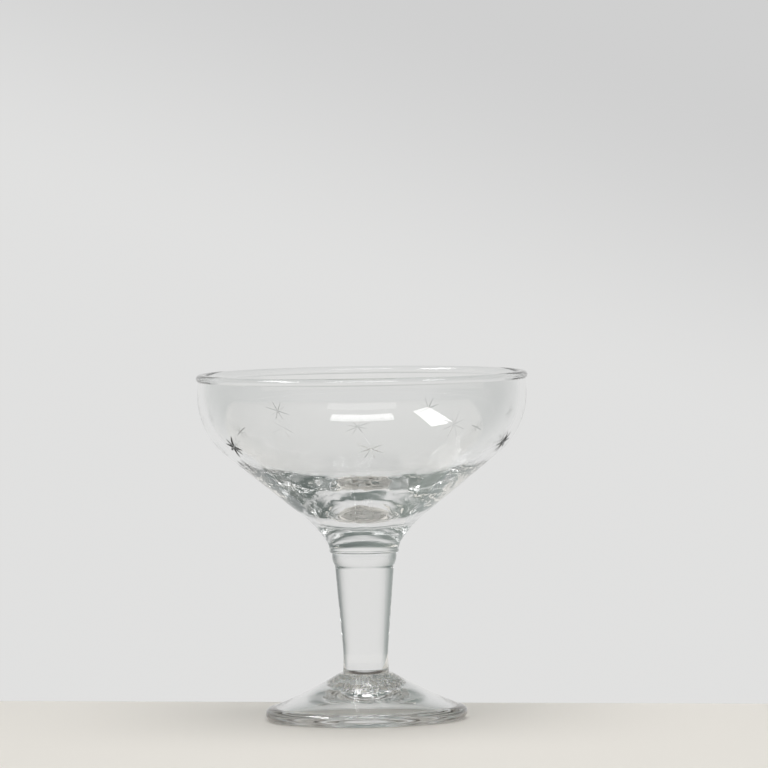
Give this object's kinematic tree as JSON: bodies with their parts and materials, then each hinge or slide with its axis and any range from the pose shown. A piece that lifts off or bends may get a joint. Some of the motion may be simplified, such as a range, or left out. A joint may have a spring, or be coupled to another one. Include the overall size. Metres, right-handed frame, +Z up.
{
  "type": "champagne coupe",
  "caption": "Clear glass champagne coupe: wide shallow bowl with a rounded rim, joined by a small wafer to a solid tapered stem on a round foot.",
  "frame": {"origin": "centre of the circle that the foot stands on", "axes": "+Z up along the axis of the glass; X and Y are level, and -Y faces the camera of the picture"},
  "size_m": [0.11, 0.11, 0.1154],
  "materials": {
    "clear_glass": "polished clear glass with a faint grey-green tint"
  },
  "bodies": {
    "root": {"bowl": "clear_glass", "wafer": "clear_glass", "stem": "clear_glass", "foot": "clear_glass"}
  },
  "joints": []
}
